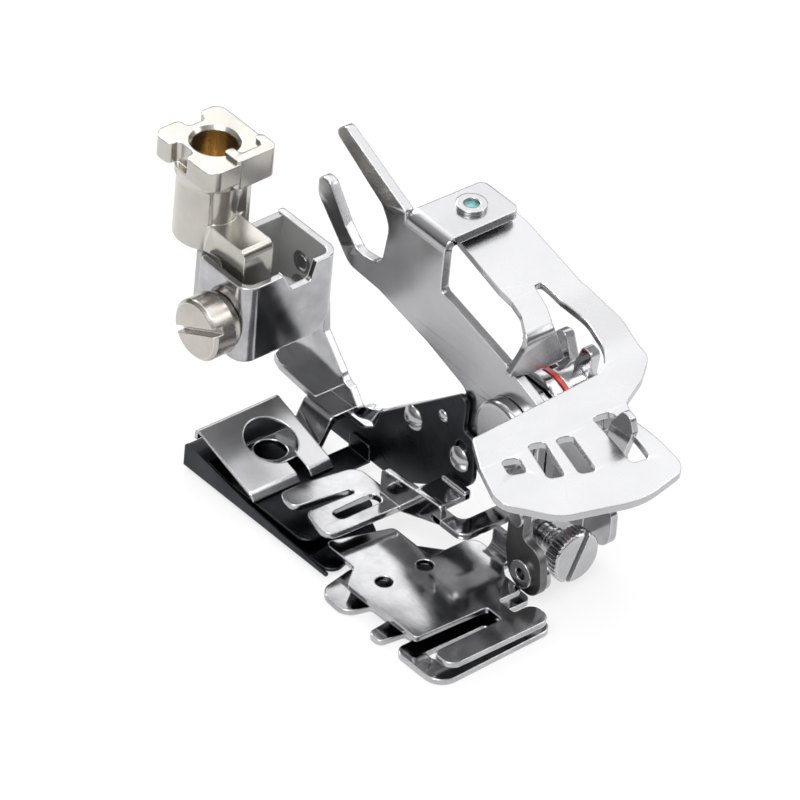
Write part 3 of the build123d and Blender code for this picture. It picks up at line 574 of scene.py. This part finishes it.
comb_outline = [
    (3.5, -33.5, 1.0), (9.0, -39.5, 1.0), (9.0, -49.8, 1.0), (3.2, -49.8, 0.6), (3.2, -52.1, 0.6),
    (7.6, -52.1, 1.4), (7.6, -55.2, 1.4), (-10.0, -56.0, 2.4), (-10.0, -47.9, 2.2), (-6.9, -47.9, 0.6),
    (-6.9, -46.4, 0.5), (-10.4, -46.0, 0.9), (-10.4, -43.9, 0.9), (-6.9, -43.5, 0.5), (-6.9, -40.4, 0.5),
    (-10.3, -39.6, 2.0), (-9.9, -34.8, 2.0), (-5.0, -33.8, 1.5)]
comb_slot = [(-7.4, -52.0, 0.4), (1.4, -52.0, 0.4), (1.4, -50.5, 0.4), (-7.4, -50.5, 0.4)]
comb = sheet("comb", comb_outline, [comb_slot], level(comb_z), comb_sheet)
joined("lower_comb", [comb], deep, "root", "chrome", "comb_plate")

strip_outline = [
    (-11.2, -33.4, 1.6), (-11.2, -36.9, 1.2), (-25.5, -36.9, 3.0), (-38.0, -29.8, 2.5),
    (-37.6, -23.6, 1.7), (-35.6, -23.2, 0.6), (-35.8, -17.6, 1.0), (-21.6, -29.3, 2.0),
    (-20.6, -32.2, 1.5), (-18.6, -33.4, 1.5)]
strip_slot = [(-36.42, -28.9, 0.9), (-34.58, -28.9, 0.9), (-34.58, -24.6, 0.9), (-36.42, -24.6, 0.9)]
strip = sheet("strip", strip_outline, [strip_slot], upright(strip_x), strip_sheet, 0.06)
joined("blued_strip", [strip], blued, "ruffling_blade", "blued_steel", "blade_strip")

# Pieces that keep the CAD solid's mesh apart from a few forms that the photograph shows otherwise


def reshaped(name, source, move, material, body):
    """A copy of a CAD node's mesh with its points moved, in millimetres; it stands for the node."""
    mesh = nodes[source].data.copy()
    mesh.name = name
    for attribute in list(mesh.attributes):
        if attribute.name == "custom_normal":
            mesh.attributes.remove(attribute)
    for vert in mesh.vertices:
        vert.co = Vector(move(*(vert.co / MM))) * MM
    mesh.set_sharp_from_angle(angle=0.5)
    mesh.materials.clear()
    mesh.materials.append(material)
    piece = bpy.data.objects.new(name, mesh)
    bpy.context.scene.collection.objects.link(piece)
    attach(piece, body)
    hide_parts(source)
    return piece


clamp_y, clamp_z = -8.2, -18.6
slot_turn = radians(-38.0)
head_bevel_low, head_bevel_high, bevel_more = -6.2, -4.2, 0.5
pocket_right_x = 9.03
leg_middle_x = -2.6
leg_width_share, leg_depth_share = 0.768, 0.75
neck_share = 1.08
notch_shift = 1.1
wall_cut = 0.8
screw_hole_share = 1.27


def turn_slot(x, y, z):
    """The screw with a slot that rises to the front and a longer bevel at the back of its head."""
    v, w = y - clamp_y, z - clamp_z
    if head_bevel_low < x < head_bevel_high:
        x -= bevel_more
    return (x, clamp_y + v * cos(slot_turn) - w * sin(slot_turn),
            clamp_z + v * sin(slot_turn) + w * cos(slot_turn))


def slim_leg(x, y, z):
    """The shank with a flat top, a wider neck, a level ledge and a narrower leg."""
    if z > 0.005:
        return x, y, 0.0
    on_neck = -12.65 < z < -2.75 and y > -3.0
    if on_neck and abs(x - 2.9) < 0.03:
        return 3.85, y, z
    if on_neck and 3.6 < hypot(x, y) < 4.3:
        return neck_share * x, neck_share * y, z
    on_leg = z < -8.9 and y < -3.0
    if on_leg:
        if z > -11.7:
            z += min(1.0, (-3.4 - y) / 7.4)
        x = leg_middle_x + leg_width_share * (x + 2.8)
        if y < -5.6:
            y = -5.6 + leg_depth_share * (y + 5.6)
    return x, y, z


def right_notch(x, y, z):
    """The bracket with its notch further right, a shorter left wall and a wider hole for the screw."""
    in_notch = y < -10.9 and -0.4 < x < 5.8 and z > -15.4
    if in_notch:
        return x + notch_shift, y, z
    left_wall_end = x < -3.0 and y > -3.0
    if left_wall_end:
        return x, y - wall_cut, z
    v, w = y - clamp_y, z - clamp_z
    in_screw_hole = x < -3.1 and v * v + w * w < 4.0
    if in_screw_hole:
        return x, clamp_y + screw_hole_share * v, clamp_z + screw_hole_share * w
    return x, y, z


def cut_back_plate(x, y, z):
    """The side plate's edge in front of the bracket is cut back to one slope."""
    on_plate = 9.9 <= x <= 11.3
    if not on_plate:
        return x, y, z
    top_corner = -11.6 < y < -9.4 and z > -25.7
    if top_corner:
        return x, y + 1.6, max(z, -24.1)
    upright_edge = -13.0 < y < -10.4 and -28.6 < z <= -25.7
    if upright_edge:
        share = (-25.5 - z) / 2.9
        return x, -9.0 - 4.0 * share, -24.1 - 4.2 * share
    lower_corner = -15.5 < y < -12.3 and -32.0 < z < -29.6
    if lower_corner:
        return x, y - 1.0, z + 1.6
    slope_foot = -20.6 < y < -17.0 and -32.3 < z < -29.6
    if slope_foot:
        return x, y - 1.1, z + 1.0
    return x, y, z


def flush_heads(x, y, z):
    """The bracket's rivets end flush with its inner face."""
    return max(x, pocket_right_x), y, z


reshaped("turned_screw", "clamp_screw", turn_slot, satin, "clamp_screw")
reshaped("slim_shank", "shank", slim_leg, nickel, "root")
reshaped("flush_rivets", "bracket_rivets", flush_heads, bright, "root")

# Forms that no solid has: the shank's rim, the flange at the side plate's foot and the pocket's back wall

rim_top_z = 0.45
rim_height = 4.0
rim_outline = [
    (4.9, -5.35, 0.9), (4.9, -2.4, 0.6), (3.7, -2.4, 0.5), (3.7, -4.1, 0.6), (0.4, -4.1, 0.5),
    (0.4, -2.6, 0.4), (-0.9, -2.6, 0.5), (-0.9, -5.35, 0.6)]
rim = sheet("rim", rim_outline, [], level(rim_top_z), rim_height, 0.2)
added("shank_rim", [rim], nickel, "root")

flange_sheet = 0.8
flange_z, flange_slope = -31.35, 0.12
flange_outline = [(10.4, -3.4, 0.5), (8.2, -3.6, 1.2), (7.5, -5.6, 1.5), (7.6, -12.2, 0.3), (10.4, -12.2)]


def flange_place(x, y, depth):
    return (x, y, flange_z + flange_slope * (y + 4.4) - depth)


flange = sheet("flange", flange_outline, [], flange_place, flange_sheet)
added("frame_flange", [flange], bright, "root")

pocket_back_y = -2.5
pocket_sheet = 0.9
back_outline = [(-2.9, -12.9, 0.6), (9.2, -12.9), (9.2, -22.6, 0.6), (-2.9, -22.6, 0.6)]


def back_place(x, z, depth):
    return (x, pocket_back_y + depth, z)


pocket_back = sheet("back", back_outline, [], back_place, pocket_sheet)
added("bracket_back", [pocket_back], pocket_shade_plate, "root")

# The bracket and the side plate that these forms meet

reshaped("notched_bracket", "mount_bracket", right_notch, pocket_shade_plate, "root")
reshaped("side_frame", "frame", cut_back_plate, deep, "root")

# The adjusting screw's thread: a ridge wound round its core on each side of the frame's web

thread_core = 0.00135
thread_crest = 0.00160
thread_pitch = 0.00055
ridge_root = 0.48
ridge_flat = 0.08


def thread(name, y_from, y_to, x_middle, z_middle, steps=28):
    """A V-shaped helical ridge along Y that fades out at both ends."""
    turns = abs(y_to - y_from) / thread_pitch
    count = int(turns * steps)
    sunk = thread_core - 0.00012
    points = []
    faces = []
    for i in range(count + 1):
        share = i / count
        angle = 2.0 * pi * turns * share
        fade = min(1.0, 6.0 * share, 6.0 * (1.0 - share))
        top = thread_core + (thread_crest - thread_core) * fade
        y = y_from + (y_to - y_from) * share
        profile = ((sunk, -ridge_root), (top, -ridge_flat), (top, ridge_flat), (sunk, ridge_root))
        for radius, shift in profile:
            points.append((x_middle + radius * cos(angle), y + shift * thread_pitch,
                           z_middle + radius * sin(angle)))
        if i:
            a, b = 4 * (i - 1), 4 * i
            faces += [(a + k, a + k + 1, b + k + 1, b + k) for k in range(3)]
            faces.append((a + 3, a, b, b + 3))
    faces += [(0, 1, 2, 3), (4 * count + 3, 4 * count + 2, 4 * count + 1, 4 * count)]
    mesh = bpy.data.meshes.new(name)
    mesh.from_pydata(points, [], faces)
    build = bmesh.new()
    build.from_mesh(mesh)
    bmesh.ops.recalc_face_normals(build, faces=build.faces)
    build.to_mesh(mesh)
    build.free()
    piece = bpy.data.objects.new(name, mesh)
    bpy.context.scene.collection.objects.link(piece)
    mesh.materials.append(chrome)
    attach(piece, "adjusting_screw")


screw_low, screw_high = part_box("adjusting_screw")
screw_x = (screw_low.x + screw_high.x) / 2
screw_z = (screw_low.z + screw_high.z) / 2
thread("thread_front", -0.0477, -0.0454, screw_x, screw_z)
thread("thread_back", -0.0436, -0.0401, screw_x, screw_z)

# Floor, world and lamps


def pale_floor():
    """Matte and pale on the object's side, and near white for the camera and for reflections."""
    material = bpy.data.materials.new("pale_floor")
    material.use_nodes = True
    tree = Nodes(material.node_tree)
    diffuse = tree.add("ShaderNodeBsdfDiffuse")
    cloud = tree.noise(stretched(tree, (1.0, 1.0, 1.0)), 40.0)
    tree.link(tree.mix(cloud, (0.88, 0.88, 0.88), (0.90, 0.90, 0.90)), diffuse.inputs["Color"])
    glow = tree.add("ShaderNodeEmission")
    glow.inputs["Color"].default_value = (1.0, 1.0, 1.0, 1.0)
    rays = tree.add("ShaderNodeLightPath")
    seen = tree.math("MAXIMUM", rays.outputs["Is Camera Ray"], rays.outputs["Is Glossy Ray"])
    seen = tree.math("MAXIMUM", seen, rays.outputs["Is Transmission Ray"])
    blend = tree.add("ShaderNodeMixShader")
    tree.link(tree.math("MULTIPLY", seen, 0.72), blend.inputs["Fac"])
    tree.link(diffuse.outputs["BSDF"], blend.inputs[1])
    tree.link(glow.outputs["Emission"], blend.inputs[2])
    output = tree.add("ShaderNodeOutputMaterial")
    tree.link(blend.outputs["Shader"], output.inputs["Surface"])
    return material


# Grey from straight below (0) to straight above (1), and the bright zones: direction, cosines, strength
sky_stops = ((0.0, 0.60), (0.50, 0.04), (0.56, 0.07), (0.64, 0.30), (0.80, 0.55), (1.0, 0.75))
bright_zones = (((0.54, 0.30, 0.79), 0.93, 0.66, 1.55), ((-0.60, -0.45, 0.66), 0.95, 0.75, 0.5))


def studio_world():
    """A dark horizon, a pale ceiling and two bright zones, with white for the camera."""
    world = bpy.data.worlds.new("studio")
    world.use_nodes = True
    tree = Nodes(world.node_tree)
    coords = tree.add("ShaderNodeTexCoord")
    split = tree.add("ShaderNodeSeparateXYZ")
    tree.link(coords.outputs["Generated"], split.inputs["Vector"])
    ramp = tree.add("ShaderNodeValToRGB")
    ends = ramp.color_ramp.elements
    for element, (position, grey) in ((ends[0], sky_stops[0]), (ends[1], sky_stops[-1])):
        element.position = position
        element.color = (grey, grey, grey, 1.0)
    for position, grey in sky_stops[1:-1]:
        ends.new(position).color = (grey, grey, grey, 1.0)
    tree.link(tree.remap(split.outputs["Z"], -1.0, 1.0), ramp.inputs["Fac"])
    light = ramp.outputs["Color"]
    for direction, inner, outer, strength in bright_zones:
        aim = tree.add("ShaderNodeVectorMath", operation="DOT_PRODUCT")
        aim.inputs[1].default_value = direction
        tree.link(coords.outputs["Generated"], aim.inputs[0])
        light = tree.math("ADD", light, tree.remap(aim.outputs["Value"], outer, inner, 0.0, strength))
    rays = tree.add("ShaderNodeLightPath")
    background = tree.add("ShaderNodeBackground")
    background.inputs["Strength"].default_value = 0.9
    tree.link(tree.mix(rays.outputs["Is Camera Ray"], light, (1.0, 1.0, 1.0)), background.inputs["Color"])
    output = tree.add("ShaderNodeOutputWorld")
    tree.link(background.outputs["Background"], output.inputs["Surface"])
    return world


floor_gap = 0.0001
bpy.ops.mesh.primitive_plane_add(size=6.0, location=(0, 0, cad_low.z - floor_gap))
floor = bpy.context.object
floor.name = "floor"
floor.data.materials.append(pale_floor())
bpy.context.scene.world = studio_world()

lit_middle = Vector((0.006, -0.028, -0.022))


def lamp(name, place, size, power):
    """A rectangular lamp at a place seen from the object's middle, aimed at it."""
    data = bpy.data.lights.new(name, "AREA")
    data.shape = "RECTANGLE"
    data.size = size[0]
    data.size_y = size[1]
    data.energy = power
    lamp_object = bpy.data.objects.new(name, data)
    lamp_object.location = lit_middle + Vector(place)
    lamp_object.rotation_euler = Vector(place).to_track_quat("Z", "Y").to_euler()
    bpy.context.scene.collection.objects.link(lamp_object)


lamp("key", (-0.35, -0.15, 0.50), (0.30, 0.30), 2.0)
lamp("fill", (0.45, -0.35, 0.35), (0.25, 0.40), 0.8)
lamp("back", (0.10, 0.55, 0.40), (0.50, 0.20), 1.2)

# Camera at the photograph's viewing angle

right = Vector((0.7659, -0.6389, 0.0711)).normalized()
back = Vector((-0.5444, -0.5858, 0.6004)).normalized()
up = back.cross(right).normalized()
target = Vector((0.00600, -0.02816, -0.02204))
distance = 1.746
camera_data = bpy.data.cameras.new("camera")
camera_data.lens = 691.0
camera_data.sensor_width = 36.0
camera_data.clip_end = 20.0
camera = bpy.data.objects.new("camera", camera_data)
camera.matrix_world = Matrix((
    (right.x, up.x, back.x, 0), (right.y, up.y, back.y, 0), (right.z, up.z, back.z, 0), (0, 0, 0, 1)))
camera.location = target + back * distance
bpy.context.scene.collection.objects.link(camera)
bpy.context.scene.camera = camera
bpy.context.scene.view_settings.view_transform = "Standard"
